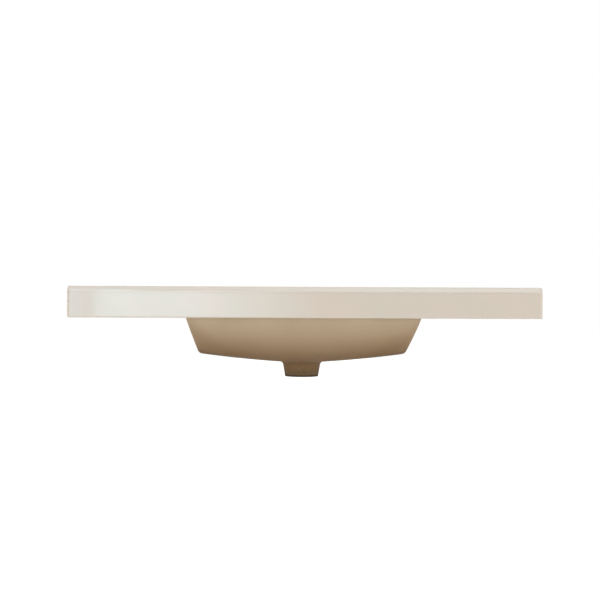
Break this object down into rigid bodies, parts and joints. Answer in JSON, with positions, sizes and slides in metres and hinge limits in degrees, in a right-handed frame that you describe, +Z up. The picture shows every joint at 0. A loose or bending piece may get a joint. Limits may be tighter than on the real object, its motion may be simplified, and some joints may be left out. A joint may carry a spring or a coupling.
{
  "type": "vanity top with integrated sink",
  "caption": "Thick-edged vanity top with a rectangular integrated sink, sloped bowl and drain boss below, overflow and faucet holes at the back.",
  "frame": {"origin": "middle of the top's back bottom edge, where the wall plane meets the cabinet's seat plane", "axes": "+X to the right seen from the front, -Y out of the front face, +Z up; Y = 0 is the wall and Z = 0 the cabinet's seat"},
  "size_m": [0.94, 0.559, 0.194],
  "materials": {
    "panel": "glossy off-white glaze",
    "bowl_body": "matt raw tan body outside, glossy off-white glaze inside",
    "plywood": "raw plywood",
    "silicone": "satin sealant",
    "duct": "moulded satin",
    "plated_ring": "polished plate",
    "gasket": "black rubber",
    "inserts": "turned brass",
    "hardware": "zinc-plated steel"
  },
  "bodies": {
    "root": {"deck_panel": "panel", "front_apron": "panel", "left_apron": "panel", "right_apron": "panel", "front_rail": "plywood", "rear_rail": "plywood", "left_rail": "plywood", "right_rail": "plywood", "left_cross_rail": "plywood", "right_cross_rail": "plywood", "bowl": "bowl_body", "bowl_seal": "silicone", "overflow_duct": "duct", "overflow_ring": "plated_ring", "ring_gasket": "gasket", "clip_inserts": "inserts", "clip_studs": "hardware", "bowl_clips": "hardware", "clip_washers": "hardware", "clip_nuts": "hardware"}
  },
  "joints": []
}
